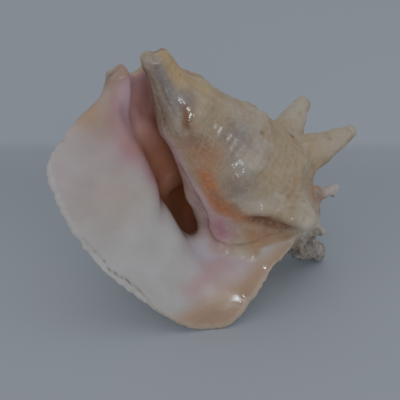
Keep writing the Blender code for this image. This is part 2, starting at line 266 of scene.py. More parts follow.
def raise_spines(q, points):
    """Moves each point outward by the spine's length times (1 - distance from its middle) ^ flare."""
    out = points.copy()
    for turn, length, tilt, half, flare in spine_list():
        r, z = shoulder(np.float64(turn))
        centre = coil(np.float64(turn), r, z - 1.0)
        reach = np.linalg.norm(points - centre, axis=-1) / half
        lift = np.clip((FOOT_REACH - reach) / (FOOT_REACH - TIP_REACH), 0, 1) ** flare
        lift = lift * (np.abs(q - turn) < 0.2)
        angle, up = 2 * np.pi * turn, np.radians(tilt)
        aim = np.array([np.cos(up) * np.cos(angle), -np.cos(up) * np.sin(angle), np.sin(up)])
        out += (length * lift)[..., None] * aim
    return out


print("spines:", len(spine_list()))

# %% [markdown]
# ## The flared lip
# A grown-up conch stops coiling and spreads its rim into a wing. Its edge is a line of chosen points
# from the spire round to the canal, and from each point of the last growth line a Bezier curve leads
# out to it: first on along the whorl, then turning over the fold, then flat to the rim.

# %% Rim
# share along the rim, x, distance forward, height
RIM = np.array([
    (0.00, -5, 35, 152),
    (0.06, 9, 40, 151.5),
    (0.12, 24, 41.5, 155),
    (0.18, 40, 44, 157),
    (0.25, 57, 46.5, 160),
    (0.31, 72, 47, 161),
    (0.37, 85, 43.5, 154.5),
    (0.44, 96, 40, 139),
    (0.52, 102, 33, 117),
    (0.60, 107, 25, 88),
    (0.68, 108, 17.7, 67),
    (0.75, 105, 10.6, 46.5),
    (0.81, 100, 5.0, 29),
    (0.86, 94, 0.7, 17),
    (0.90, 86, -1.5, 10.6),
    (0.93, 74, -2.4, 7.8),
    (0.955, 57, -2.8, 7.4),
    (0.975, 44.5, -3.5, 6.8),
    (0.99, 33.5, -4.8, 1.0),
    (1.00, 26, -6.5, -3.0),
])
RAMP_SHARE = 0.25
LIP_HUG = 0.25            # share of the rim, from the spire, that lies round the whorl instead of flaring
RISE_SLOPE, RISE_FROM, RISE_TO = 0.25, 1.5, 21      # how far the lip first goes on along the whorl, in mm


def whorl_share(t):
    """The ramp takes the first quarter of the lip, the body the rest."""
    return np.where(t < RAMP_SHARE, t / RAMP_SHARE, 1 + 2 * (t - RAMP_SHARE) / (1 - RAMP_SHARE))


def unit(v):
    """Each vector over its own length."""
    return v / (np.linalg.norm(v, axis=-1, keepdims=True) + 1e-12)


# %% [markdown]
# The rim is thin and has knocked against stones. Four waves of different length along it, added and
# sharpened, push it back by up to a millimetre or two, which reads as chips.

# %% Chips along the rim
CHIPS = [(41.0, 0.55, 0.3), (97.0, 0.45, 1.7), (173.0, 0.40, 4.1), (311.0, 0.30, 2.2)]


def chipped(t):
    """How far the rim is broken back, in mm: a sum of waves along it, sharpened."""
    waves = sum(a * np.sin(k * t + s + 2.0 * np.sin(0.37 * k * t)) for k, a, s in CHIPS)
    return 0.5 + 0.5 * waves + 0.5 * np.abs(waves)


def lip_face(u, t):
    """Cubic Bezier for each t: u 0 on the whorl, leaving along its turn, u 1 at the rim."""
    u, t = np.broadcast_arrays(np.asarray(u, float), np.asarray(t, float))
    on_whorl = whorl_share(t)
    step = 1e-3
    start = whorl(0 * t, on_whorl)
    leave = unit(whorl(0 * t + step, on_whorl) - whorl(0 * t - step, on_whorl))
    rim = curve(t, RIM[:, 0], RIM[:, 1:]) * np.array([1.0, -1.0, 1.0])
    rim = rim - unit(rim - start) * chipped(t)[..., None]
    span = np.linalg.norm(rim - start, axis=-1, keepdims=True)
    flare = unit((rim - start) * np.array([1.0, 0.25, 1.0]))
    around = unit(np.stack([rim[..., 1], -rim[..., 0], 0 * t], -1))
    hug = fade(t, 0.0, LIP_HUG)[..., None]
    arrive = unit(flare * (1 - hug) + around * hug)
    rise = np.clip(RISE_SLOPE * (start[..., 2:] - 15) + 1, RISE_FROM, RISE_TO)
    first = rise * (1 - hug) + 0.40 * span * hug
    last = 0.50 * span * (1 - hug) + 0.35 * span * hug
    p1 = start + leave * first
    p2 = rim - arrive * last
    u = u[..., None]
    return (1 - u) ** 3 * start + 3 * (1 - u) ** 2 * u * p1 + 3 * (1 - u) * u**2 * p2 + u**3 * rim


# %% [markdown]
# ## Sheets that wall the solid off
# Outer face, inner face, the pillar in the throat and the caps are separate grids that cross each
# other freely. Each point also carries a growth mark: its turn, its place down the wall, and a number
# for the sheet. The marks come back later, when lines and colours have to follow the growth.

# %% Grid helpers
OUTER, INNER, PILLAR, EDGE = 0.0, 1.0, 2.0, 3.0


def facing(grid):
    """Unit cross product of the two directions of a grid."""
    return unit(np.cross(np.gradient(grid, axis=0), np.gradient(grid, axis=1)))


def band(a, b, steps=3):
    """Straight lines from each point of a to that of b."""
    s = np.linspace(0, 1, steps)[:, None, None]
    return a[None] * (1 - s) + b[None] * s


def marked(grid, turn=0.0, down=0.0, sheet=EDGE):
    """A grid with its growth marks."""
    marks = np.stack(np.broadcast_arrays(turn + 0 * grid[..., 0], down, sheet), -1)
    return grid, marks


def rod(a, b, radius, around=24, steps=18):
    """Half circles turned round the line from a to b, split between its two ends."""
    axis = unit(b - a)
    side = unit(np.cross(axis, [0.0, 0.0, 1.0]))
    turn = np.linspace(0, 2 * np.pi, around)[None, :, None]
    lean = np.linspace(-np.pi / 2, np.pi / 2, steps)[:, None, None]
    ring = side * np.cos(turn) + np.cross(axis, side) * np.sin(turn)
    return np.where(lean < 0, a, b) + radius * (np.cos(lean) * ring + np.sin(lean) * axis)


# %% Whorls, lip and inner face
PILLAR_Z = [-5, 0, 20, 60, 100, 125, 145, 160, 175]
PILLAR_R = [5, 5.5, 6.5, 9.5, 14, 18, 23, 28, 31]
FACE_Z = [0, 20, 60, 100, 125, 145, 175]     # the pillar's broad face toward the lip
FACE_R = [1, 2, 4, 11, 17, 7, 0]
BRIDGE = np.array([(52.0, -8.0, 130.0), (32.0, -25.0, 147.0)])
BRIDGE_RADIUS = 9.0


def ventral_radius(q, z):
    """Radius of the whorl before at a height, up to its shoulder and then along its ramp."""
    rs, zs = shoulder(q)
    ru, zu = suture(q)
    on_body = body_radius(q, np.clip(z / zs, 0, 1))
    above = np.clip((z - zs) / (zu - zs), 0, 1)
    return np.where(z > zs, rs + (ru - rs) * above - 1.5, on_body)


FILL_Z = [0, 15, 35, 60, 80, 90, 98, 175]
FILL = [0.5, 2, 9, 18, 25, 25, 3, 0]
LOBE_FILL = 4.5
FILL_LEAN = 140.0         # the floor reaches further down on the side of the pillar


def trough_fill(q, z):
    """Extra wall behind the canal: by height, faded out toward the pillar's far side and the lip."""
    lobe = LOBE_FILL * hump(q, 0.0, 0.08) * fade(z, 8, 28)
    z = z + FILL_LEAN * np.clip(q + 0.04, -0.12, 0)
    return np.interp(z, FILL_Z, FILL) * ease(q, -0.56, -0.42) * fade(q, -0.11, -0.01) + lobe


def last_whorl(columns, rows, lip_steps):
    """Outer and inner grids of the last whorl and the lip, and the marks of their points."""
    turns = np.linspace(-1, 0, columns)
    along = np.linspace(0, 1, rows)
    out_to_rim = np.linspace(0, 1, lip_steps + 1)[1:]
    body = whorl(turns[:, None], whorl_share(along)[None, :])
    lip = lip_face(out_to_rim[:, None], along[None, :])
    smooth_outer = np.concatenate([body, lip])
    inward = facing(smooth_outer)
    middle = columns // 2
    if np.sum(inward[middle, :, :2] * smooth_outer[middle, :, :2]) > 0:
        inward = -inward
    to_rim = ease(np.concatenate([turns * 0, out_to_rim]), 0.15, 1.0)
    fill = trough_fill(np.concatenate([turns, out_to_rim])[:, None], smooth_outer[..., 2])
    wall = ((WALL + (RIM_WALL - WALL) * to_rim)[:, None] + fill)[..., None]
    outer = np.concatenate([
        raise_spines(turns[:, None], body),
        raise_spines(np.zeros((lip_steps, 1)), lip),
    ])
    turn_marks = np.concatenate([turns, out_to_rim])[:, None]
    return outer, smooth_outer + inward * wall, turn_marks, whorl_share(along)[None, :]


def shell_sheets(columns=420, rows=200, lip_steps=90):
    """All the grids with their marks."""
    sheets = []

    def keep(*grid_and_marks):
        sheets.append(marked(*grid_and_marks))

    q = np.linspace(APEX_TURN, -0.98, int(columns * 3))[:, None]
    t = np.concatenate([np.linspace(0, 1, 12)[:-1], np.linspace(1, 1.45, 9)])[None, :]
    keep(raise_spines(q, whorl(q, t)), q, t, OUTER)

    outer, inner, turn, down = last_whorl(columns, rows, lip_steps)
    first = np.searchsorted(turn[:columns, 0], DEEP_TURN)
    keep(outer, turn, down, OUTER)
    keep(inner[first:], turn[first:], down, INNER)
    keep(band(outer[-1], inner[-1]), 1.0, down)
    keep(band(outer[columns - 1:, 0], inner[columns - 1:, 0]))
    keep(band(outer[first:, -1], inner[first:, -1]))
    tip = outer[:np.searchsorted(turn[:columns, 0], -0.33), -1]
    foot_middle = coil(0.0, 0.0, TIP_HEIGHT)
    keep(band(tip, 0 * tip + foot_middle))
    back = inner[first]
    keep(band(back, coil(0.0, 0.0, back[:, 2]), 6), DEEP_TURN, 2.0, INNER)

    q, up = np.meshgrid(np.linspace(DEEP_TURN - 0.02, 0.33, 180), np.linspace(0, 1, 150), indexing="ij")
    z = pillar_end(q) + (172 - pillar_end(q)) * up
    pillar = curve(z, PILLAR_Z, PILLAR_R)
    face = curve(z, FACE_Z, FACE_R) * hump(q, -0.02, 0.075)
    glaze = 0.8 * ease(q, 0.02, 0.08) * fade(q, 0.22, 0.31) - 1.5 * ease(q, 0.25, 0.33)
    outward = ease(q, -0.07, 0.06)
    column = coil(q, pillar * (1 - outward) + (ventral_radius(q - 1, z) + glaze) * outward + face, z)
    keep(column, q, z / LENGTH, PILLAR)
    keep(band(column[:, 0], 0 * column[:, 0] + foot_middle))
    keep(rod(*BRIDGE, BRIDGE_RADIUS), 0.1, 1.0, PILLAR)
    keep(rod(*BROKEN_SPINE, BROKEN_RADIUS), -1.5, 1.0, OUTER)
    keep(rod(*BLUNT_SPINE, BLUNT_RADIUS), -0.403, 1.0, OUTER)
    keep(rod(*BEHIND_FLAP, BEHIND_RADIUS), 0.2, 0.6, PILLAR)
    return sheets


# %% [markdown]
# ## From sheets to one solid
# Crossing sheets aren't a solid, and joining them face by face is fiddly. A voxel remesh floods the
# air from outside through cells about a millimetre wide, and keeps what the air can't reach. The open
# throat stays open, and the skin comes out closed, with no inner leftovers. A first fill with wider
# cells, sunk a little below the skin, plugs any gap between sheets that the fine cells would leak in.

# %% One mesh of all the sheets
def sheet_mesh(sheets):
    """Points and quads of the grids in one mesh, with the growth marks as an attribute."""
    points, quads, marks, base = [], [], [], 0
    for grid, mark in sheets:
        n, m = grid.shape[:2]
        i = np.arange(n * m).reshape(n, m) + base
        quads.append(np.stack([i[:-1, :-1], i[1:, :-1], i[1:, 1:], i[:-1, 1:]], -1).reshape(-1, 4))
        points.append(grid.reshape(-1, 3))
        marks.append(mark.reshape(-1, 3))
        base += n * m
    mesh = bpy.data.meshes.new("sheets")
    mesh.from_pydata(np.concatenate(points).tolist(), [], np.concatenate(quads).tolist())
    layer = mesh.attributes.new("growth", "FLOAT_VECTOR", "POINT")
    layer.data.foreach_set("vector", np.concatenate(marks).astype(np.float32).ravel())
    return mesh


def put(data, name):
    """A new object of a mesh, lamp or camera in the scene."""
    thing = bpy.data.objects.new(name, data)
    bpy.context.scene.collection.objects.link(thing)
    return thing


def baked(thing):
    """The object's mesh with its modifiers applied."""
    bpy.context.view_layer.update()
    return bpy.data.meshes.new_from_object(thing.evaluated_get(bpy.context.evaluated_depsgraph_get()))


sheets_object = put(sheet_mesh(shell_sheets()), "sheets")
print("points on the sheets:", len(sheets_object.data.vertices))

# %% A coarse fill to plug small gaps
PLUG_CELL = 1.5
PLUG_DEPTH = 0.6


def fill_step(thing, cell):
    """Adds a voxel remesh of a cell size."""
    step = thing.modifiers.new("fill", "REMESH")
    step.mode = "VOXEL"
    step.voxel_size = cell


plug = put(sheets_object.data.copy(), "plug")
fill_step(plug, PLUG_CELL)
sink = plug.modifiers.new("sink", "DISPLACE")
sink.mid_level = 0.0
sink.strength = -PLUG_DEPTH
plug_mesh = baked(plug)
joined = bmesh.new()
joined.from_mesh(sheets_object.data)
joined.from_mesh(plug_mesh)
joined_mesh = bpy.data.meshes.new("sheets and plug")
joined.to_mesh(joined_mesh)
joined.free()
bpy.data.objects.remove(plug)
print("faces of the plug:", len(plug_mesh.polygons))

# %% Fill, and carry the growth marks over
filled = put(joined_mesh, "filled")
fill_step(filled, CELL)


def wire(tree, value, socket):
    """Links the socket to another, or gives it a plain value."""
    if isinstance(value, bpy.types.NodeSocket):
        tree.links.new(value, socket)
    else:
        socket.default_value = value


def add(tree, kind, inputs=None, **settings):
    """A new node with its settings, and with each input linked or set."""
    node = tree.nodes.new(kind)
    for name, value in settings.items():
        setattr(node, name, value)
    for socket, value in (inputs or {}).items():
        wire(tree, value, node.inputs[socket])
    return node


def matter(name):
    """A new material, its tree, its shader and the piece's Object coordinates."""
    material = bpy.data.materials.new(name)
    material.use_nodes = True
    tree = material.node_tree
    place = add(tree, "ShaderNodeTexCoord").outputs["Object"]
    return material, tree, tree.nodes["Principled BSDF"], place


def carry_marks(source):
    """Node group: each point takes the growth mark of the nearest place on the source's faces."""
    tree = bpy.data.node_groups.new("carry marks", "GeometryNodeTree")
    for way in ("INPUT", "OUTPUT"):
        tree.interface.new_socket("Geometry", in_out=way, socket_type="NodeSocketGeometry")
    into = add(tree, "NodeGroupInput").outputs[0]
    vector = {"data_type": "FLOAT_VECTOR"}
    faces = add(tree, "GeometryNodeObjectInfo", {"Object": source}).outputs["Geometry"]
    mark = add(tree, "GeometryNodeInputNamedAttribute", {"Name": "growth"}, **vector).outputs["Attribute"]
    near = add(tree, "GeometryNodeSampleNearestSurface", {"Mesh": faces, "Value": mark}, **vector)
    given = {"Geometry": into, "Name": "growth", "Value": near.outputs["Value"]}
    keep = add(tree, "GeometryNodeStoreNamedAttribute", given, domain="POINT", **vector)
    add(tree, "NodeGroupOutput", {0: keep.outputs["Geometry"]})
    return tree


marks_step = filled.modifiers.new("marks", "NODES")
marks_step.node_group = carry_marks(sheets_object)
solid = baked(filled)
print("faces of the solid:", len(solid.polygons))

# %% Read the solid into arrays
def read(items, field, width, kind=np.float32):
    """A value of each of the mesh's items, as rows of an array."""
    flat = np.empty(width * len(items), kind)
    items.foreach_get(field, flat)
    return flat.reshape(-1, width)


points = read(solid.vertices, "co", 3).astype(float)
edges = read(solid.edges, "vertices", 2, np.int32)
growth = read(solid.attributes["growth"].data, "vector", 3).astype(float)
bpy.data.objects.remove(filled)
bpy.data.objects.remove(sheets_object)
print("marks run from", growth.min(0).round(2), "to", growth.max(0).round(2))

# %% [markdown]
# ## Smoothing
# The cells leave steps on the skin. Moving every point part of the way to the mean of its neighbours
# takes them off. More rounds of the same, near the top of the throat only, melt the glaze there into
# the walls, as the animal's own enamel does.

# %% Soften
degree = np.bincount(edges.ravel(), minlength=len(points)).astype(float)[:, None]


def neighbour_mean(values):
    """Mean of a value over the neighbours of each point."""
    out = np.empty_like(values)
    for k in range(values.shape[1]):
        a = np.bincount(edges[:, 0], values[edges[:, 1], k], len(values))
        b = np.bincount(edges[:, 1], values[edges[:, 0], k], len(values))
        out[:, k] = a + b
    return out / degree


def soften(values, rounds, weight=0.5):
    """Moves values to their neighbours' mean, by the weight, again and again."""
    for _ in range(rounds):
        values = values + weight * (neighbour_mean(values) - values)
    return values


def distance_to(p, a, b):
    """Distance of points from the line between a and b."""
    along = np.clip((p - a) @ (b - a) / np.dot(b - a, b - a), 0, 1)
    return np.linalg.norm(p - a - along[:, None] * (b - a), axis=-1)


MELT_REACH = 24.0
BLUNT_AT = np.array([3.0, 0.0, 1.0])          # the tip of the canal, worn round within this reach
BLUNT_REACH = 14.0
WORN_AT, WORN_WIDE, WORN_SHARE = 191, 12, 0.7     # where the spire is worn thin on its left
points = soften(points, 4)
melt = 1 - ease(distance_to(points, *BRIDGE), 0.5 * MELT_REACH, MELT_REACH)
points = soften(points, 90, 0.5 * melt[:, None])
glaze_smooth = ((growth[:, 2] > 0.5) & (growth[:, 2] < 1.5) & (growth[:, 0] < 0.9)).astype(float)
glaze_smooth = soften(glaze_smooth[:, None], 6)
points = soften(points, 22, 0.5 * glaze_smooth)
blunt = 1 - ease(np.linalg.norm(points - BLUNT_AT, axis=1), 0.5 * BLUNT_REACH, BLUNT_REACH)
points = soften(points, 11, 0.5 * blunt[:, None])
worn = WORN_SHARE * hump(points[:, 2], WORN_AT, WORN_WIDE) * (points[:, 2] > 160)
points[:, 0] -= worn * np.minimum(points[:, 0], 0)
print("points melted at the throat:", int((melt > 0.5).sum()))

# %% [markdown]
# ## Noise
# Nothing that grew is even. The wear needs a smooth random value at any point in space, so each corner
# of a lattice gets a number made from its own place, and the values between are blended. Adding
# finer and weaker layers gives the roughness of chalk.

# %% Lattice noise
def lattice(cell, seed):
    """A number from 0 to 1 for each whole-numbered place, from sines of large multiples."""
    mix = cell @ np.array([127.1, 311.7, 74.7]) + 53.3 * seed
    return np.modf(np.abs(np.sin(mix) * 43758.5453))[0]


def noise(p, size, seed=0):
    """Value noise: the eight corners round a point, blended by 3t^2 - 2t^3 along each axis."""
    p = p / size + 1000.0
    low = np.floor(p)
    t = p - low
    t = t * t * (3 - 2 * t)
    total = np.zeros(len(p))
    for corner in np.ndindex(2, 2, 2):
        step = np.array(corner)
        part = np.prod(np.where(step, t, 1 - t), axis=1)
        total += part * lattice(low + step, seed)
    return 2 * total - 1


def layered(p, size, layers=3, seed=0):
    """Layers of noise, each half the size and half the strength of the one before."""
    return sum(noise(p, size / 2**k, seed + k) / 2**k for k in range(layers))


def pits(p, size, seed=0):
    """Distance to the nearest of one random point in each cell of a lattice, over the cell."""
    p = p / size + 500.0
    low = np.floor(p)
    best = np.full(len(p), 9.0)
    for near in np.ndindex(3, 3, 3):
        cell = low + np.array(near) - 1
        spot = cell + np.stack([lattice(cell, seed + k) for k in range(3)], 1)
        best = np.minimum(best, np.linalg.norm(p - spot, axis=1))
    return best


# %% [markdown]
# ## Where is what
# Colour and relief follow the growth marks: which face a point is on, how far round it grew and how
# far down. From these come soft masks, one for each kind of surface: the chalky back, the glazed
# front, the pillar's edge, the smooth inside of the lip, the throat and the rim.

# %% Masks
turn, down, sheet = growth.T
x, y, z = points.T
forward = -y
around = np.degrees(np.arctan2(forward, x - curve(z, AXIS_Z, AXIS_X)))
radius = np.hypot(forward, x - curve(z, AXIS_Z, AXIS_X))


def soft_mask(test, rounds=4):
    """A yes-or-no test of the points, softened over its neighbours."""
    return soften(np.asarray(test, float)[:, None], rounds)[:, 0]


is_outer = sheet < 0.5
is_inner = (sheet > 0.5) & (sheet < 1.5)
is_pillar = (sheet > 1.5) & (sheet < 2.5)
mask_inner = soft_mask(is_inner)
mask_pillar = soft_mask(is_pillar)
mask_outer = soft_mask(is_outer)
rim_share = np.where((turn > 0) & ~is_pillar, turn, 0.0)
mask_rim = soft_mask(ease(rim_share, 0.93, 1.0) * ~is_pillar, 2)
for name, part in (("outside", is_outer), ("inside", is_inner), ("on the pillar", is_pillar)):
    print("points", name, int(part.sum()))

# %% [markdown]
# ## Relief
# The back of the shell has growth lines across the whorl and fine cords along it. The spire has stood
# in the sea for longest and is pitted. The glaze has drowned most of this, but a net of the cords
# still shows through. The inside is smooth, and breaks in thin steps at the rim.

# %% Where the glaze ends
TONGUE_Z = [60, 67, 87, 108, 118, 125]     # the glaze ends on the lip's side at these heights and x
TONGUE_X = [29, 30, 34, 38, 42.5, 44]
BELOW_X = [8, 20, 28, 35, 41, 44]          # and toward the spire at these x and heights
BELOW_Z = [135.5, 136, 136.5, 134.5, 131, 126]


def surface_normals(mesh_points, mesh):
    """Normals of the vertices once the points are in the mesh."""
    mesh.vertices.foreach_set("co", mesh_points.astype(np.float32).ravel())
    mesh.update()
    return read(mesh.vertex_normals, "vector", 3).astype(float)


# %% Growth lines, cords and pits
LINES_IN_TURN, BROAD_IN_TURN = 52, 17         # growth lines, fine and broad
CORD_GAP = 5.2
NET_GAP, NET_IN_TURN = 6.5, 30


def ribs(phase):
    """A narrow bell in the middle of each whole step of the phase."""
    return hump(np.modf(phase)[0], 0.5, 0.12)


wobble = noise(points, 14.0, 3)
lines = np.sin(2 * np.pi * (LINES_IN_TURN * turn + 0.8 * wobble))
broad = np.sin(2 * np.pi * (BROAD_IN_TURN * turn + 0.5 * wobble))
cord_phase = z + 1.6 * wobble
cords = np.cos(2 * np.pi * cord_phase / CORD_GAP)
chalk = mask_outer * (1 - mask_inner)
stump = np.exp(-(distance_to(points, *BROKEN_SPINE) / 5.5) ** 4)
spire = ease(z, 158, 178) * ease(48 - radius, 0, 10) * (1 - stump)
on_left = np.exp(-((x + 6) ** 2 + (forward - 22) ** 2 + (z - 72) ** 2) / 28.0**2)
glazed = np.clip(mask_pillar * ease(around, 5, 25) + mask_outer * on_left, 0, 1)
height = chalk * (0.10 * lines + 0.25 * broad + 0.12 * cords + 0.60 * layered(points, 11.0, 3, 5))
height += chalk * 0.22 * layered(points, 3.2, 2, 9)
hollow = 1 - ease(pits(points, 5.5, 11), 0.15, 0.55)
height -= spire * (2.0 * hollow + 2.2 * layered(points, 6.5, 3, 13))
height += stump * 0.35 * layered(points, 2.4, 2, 17)
height += blunt * 0.7 * layered(points, 5.0, 2, 33)
net = np.maximum(ribs(np.abs(cord_phase) / NET_GAP), ribs(60 + NET_IN_TURN * turn))
height += glazed * (0.08 * net + 0.35 * layered(points, 9.0, 2, 21) + 0.13 * layered(points, 3.6, 2, 23))
print("points in pits of the spire:", int((spire * hollow > 0.5).sum()))

# %% Edge of the glaze, ridge and crease
RIDGE_FROM, RIDGE_TO = np.array([27.0, 104.0]), np.array([-3.0, 134.0])     # x and height

ridge_way = unit(RIDGE_TO - RIDGE_FROM)
ridge_along = (np.stack([x, z], 1) - RIDGE_FROM) @ ridge_way / np.linalg.norm(RIDGE_TO - RIDGE_FROM)
ridge_across = (np.stack([x, z], 1) - RIDGE_FROM) @ np.array([ridge_way[1], -ridge_way[0]])
ridge_here = ease(ridge_along, -0.1, 0.5) * fade(ridge_along, 1.15, 1.3)
ridge_here = ridge_here * ease(forward, 18, 26) * (1 - mask_inner)
edge_x = np.interp(z, TONGUE_Z, TONGUE_X)
edge_z = np.interp(x, BELOW_X, BELOW_Z)
tongue_in = np.where(z > TONGUE_Z[0], np.minimum(edge_x - x, edge_z - z), 9.0)     # mm inside the edge
tongue_near = ease(forward, 4, 12) * ease(z, 62, 72) * fade(z, 140, 150) * ease(x, 2, 12)
height += 0.9 * tongue_near * (ease(tongue_in, -0.7, 0.8) - ease(tongue_in, 3, 14))
crease = ridge_here * ease(ridge_along, 0.15, 0.55) * fade(ridge_along, 0.7, 1.0)
crease = crease * hump(ridge_across, 5.5, 3.2)
height += 2.4 * ridge_here * hump(ridge_across, -1.5, 4.5) - 2.6 * crease
print("points in the crease:", int((crease > 0.5).sum()))

# %% Flaked rim, then all the relief at once
flake_here = hump(z, 86, 26) * (x > 80)
flake_edge = 0.985 - 0.045 * flake_here + 0.030 * flake_here * layered(points, 12.0, 3, 31)
flaked = soft_mask((rim_share > flake_edge) & is_inner, 1)
height -= 0.8 * flaked * flake_here
height += mask_rim * 0.45 * layered(points, 2.6, 2, 41)
normals = surface_normals(points, solid)
points = points + normals * height[:, None]
print("relief from", height.min().round(2), "to", height.max().round(2), "mm")

# %% [markdown]
# ## Laying the shell down
# A shell like this has no flat base. It lies on three points: the apex, the low corner of the lip and
# its last spine. The turn is built from the picture: the axis leans out of it by 39 degrees and runs
# down at 49, seen from 30 degrees above. The places that touch the ground are worn flat.

# %% Resting pose
AXIS_TILT = np.radians(39.0)
VIEW_DROP = np.radians(30.0)
AXIS_SLOPE = np.radians(48.99)
PLACE = np.array([-33.08, -37.76, 175.77])     # the shell's origin in the frame
MM = 0.001


def pose_matrix():
    """Columns: where the shell's x, y and z point, by way of the picture's right, up and toward us."""
    ct, st = np.cos(AXIS_TILT), np.sin(AXIS_TILT)
    ca, sa = np.cos(AXIS_SLOPE), np.sin(AXIS_SLOPE)
    axis = np.array([ct * ca, -ct * sa, -st])
    lip = np.array([-sa, -ca, 0.0])
    front = np.array([st * ca, -st * sa, ct])
    return view_matrix() @ np.stack([lip, -front, axis], 1)


def view_matrix():
    """Picture's right, up and toward us, as the world sees them from above the ground."""
    cd, sd = np.cos(VIEW_DROP), np.sin(VIEW_DROP)
    return np.array([[1, 0, 0], [0, sd, -cd], [0, cd, sd]])


laid = (points @ pose_matrix().T + PLACE) * MM
laid[:, 2] = np.maximum(laid[:, 2], 0.0)
solid.vertices.foreach_set("co", laid.astype(np.float32).ravel())
solid.update()
print("laid down, mm:", (laid.min(0) / MM).round(1), (laid.max(0) / MM).round(1))

# %% [markdown]
# ## Colour
# The pink of such a shell is strongest along the fold of the lip, fades to white on the wing and turns
# to peach at its ends. The throat is a warm brown, and the back is chalk, stained where the animal's
# own brown skin once held on. The colours are laid one over the other as on paper: each is a paint and
# a share from 0 to 1 on every point, bent by noise so that no edge is clean.

# %% Paints
PORCELAIN = (0.68, 0.665, 0.65)
LAVENDER = (0.70, 0.67, 0.80)
ROSE = (0.60, 0.27, 0.32)
BLUSH = (0.68, 0.45, 0.46)
PEACH = (0.62, 0.42, 0.28)
TAN = (0.52, 0.35, 0.26)
MAUVE = (0.70, 0.45, 0.51)
DUSK = (0.83, 0.50, 0.47)
RUST = (0.55, 0.27, 0.18)
EMBER = (1.0, 0.48, 0.26)
SEPIA = (0.33, 0.23, 0.18)
AMBER = (0.63, 0.25, 0.10)
PLUM_SHADE = (0.42, 0.24, 0.27)
UMBER = (0.30, 0.15, 0.08)
SAND = (0.74, 0.58, 0.50)
OATMEAL = (0.57, 0.45, 0.29)
STRAW = (0.72, 0.50, 0.24)
HONEY = (0.60, 0.37, 0.22)
PEARL = (0.31, 0.285, 0.285)
CHALK = (0.63, 0.55, 0.43)
LIME = (0.73, 0.72, 0.70)
DARK_BROWN = (0.17, 0.13, 0.10)

tint = np.tile(np.array(PORCELAIN), (len(points), 1))


def lay(paint, share):
    """Mixes the paint over what is there, by the share."""
    tint[:] = tint + np.clip(share, 0, 1)[:, None] * (np.array(paint) - tint)


bent = points + 3.0 * np.stack([layered(points, 16.0, 3, 51 + k) for k in range(3)], 1)
bx, by, bz = bent[:, 0], -bent[:, 1], bent[:, 2]


def patch(px, py, pz, reach):
    """Bell round a place, given as x, distance forward and height, in bent space."""
    away = np.stack([bx - px, by - py, bz - pz], 1) / reach
    return np.exp(-np.sum(away**2, axis=1))


def stroke(a, b, reach):
    """Bell round the line between two places, in bent space."""
    a, b = np.array(a, float), np.array(b, float)
    return np.exp(-(distance_to(np.stack([bx, by, bz], 1), a, b) / reach) ** 2)


# %% Chalky back and glazed front
inside = np.clip(mask_inner, 0, 1)
skin = 1 - inside
blotch = layered(points, 17.0, 4, 61)
lay(OATMEAL, skin)
lay(CHALK, skin * ease(blotch, -0.25, 0.45))
lay(HONEY, 0.55 * skin * ease(layered(points, 8.0, 3, 71), 0.25, 0.8) * fade(z, 150, 165))
lay(STRAW, 0.8 * skin * (patch(-2, 8, 18, 9) + 0.6 * stroke((-8, 12, 30), (-22, 12, 62), 7)))
lay(CHALK, 0.8 * skin * ease(radius, 44, 54))
glazed_front = mask_pillar * ease(forward, 2, 10) + 0.95 * mask_outer * patch(-6, 22, 62, 26)
lay(SEPIA, 0.22 * glazed_front * ease(layered(points, 13.0, 3, 63), -0.5, 0.5))
lay(PEARL, 0.9 * glazed_front * (patch(5, 15, 31, 8) + patch(-4, 25, 74, 14) + 0.4 * patch(10, 30, 95, 11)))
lay(HONEY, 0.85 * glazed_front * (patch(16, 22, 67, 11) + 0.7 * patch(24, 22, 60, 8)))
lay(SEPIA, 0.45 * skin * (patch(14, 23, 62, 10) + patch(10, 28, 92, 7)))
stained = stroke((27, 21, 78), (31, 22, 97), 6) + 0.5 * patch(20, 24, 60, 6) + 0.5 * patch(16, 25, 70, 9)
lay(AMBER, 0.6 * skin * stained)
beside_edge = skin * hump(tongue_in, 8.5, 4.0) * ease(z, 68, 80) * fade(z, 104, 116)
lay(AMBER, 0.85 * beside_edge * ease(forward, 8, 16))
lay(AMBER, 0.9 * skin * stroke((30, 24, 100), (19, 31, 120), 8))
lay(SEPIA, 0.5 * skin * stroke((24, 26, 92), (17, 31, 116), 7) * ease(layered(points, 5.0, 3, 67), -0.2, 0.5))
lay(HONEY, 0.85 * skin * (stroke((30, 30, 139), (12, 36, 140), 8) + patch(25, 31, 130, 7)))
lay(UMBER, 0.8 * skin * stroke((18, 32, 122), (13, 35, 128), 4.5))
# Painted shade: dark brown in the crease under the ridge.
lay(UMBER, 0.9 * np.clip(1.8 * crease, 0, 1))
print("mean paint after the outside:", tint.mean(0).round(2))

# %% Lip, fold and throat
end_line = bz - (148 - 0.2 * bx)
lay(BLUSH, 0.38 * inside * fade(bz, 30, 75))
lay(PEACH, 0.38 * inside * patch(72, 15, 56, 22))
lay(PEACH, inside * ease(end_line, -4, 9) * ease(turn, 0.05, 0.2))
lay(BLUSH, 0.95 * inside * hump(end_line, -5, 8) * ease(x, 30, 40) * fade(x, 74, 88))
lay(TAN, 0.45 * inside * ease(end_line, 6, 14))
lay(LAVENDER, 0.9 * inside * (patch(56, 17, 124, 12) + 0.4 * patch(48, 30, 136, 8)))
lay(BLUSH, 0.75 * inside * (patch(53, 27, 134, 8) + 0.7 * patch(66, 34, 130, 10)))
fold_wide = 0.10 + 0.15 * fade(z, 22, 60)
from_fold = np.maximum(turn - 0.18, 0) / fold_wide
pink = inside * np.exp(-(from_fold**2)) * fade(z, 62, 96) * ease(turn, -0.02, 0.06) * ease(bz, -2, 8)
lay(ROSE, 0.9 * pink * (1 - 0.3 * ease(z, 36, 50)))
lay(PEACH, inside * 0.95 * patch(52, 1, 5, 16))
# The throat's own brown. Low down it reaches further toward the fold as painted shade at the trough's edge.
deep = inside * (1 - ease(turn, -0.02, 0.10 + 0.32 * fade(z, 28, 55)))
lay(RUST, deep)
lay(DUSK, deep * fade(bz, 32, 66))
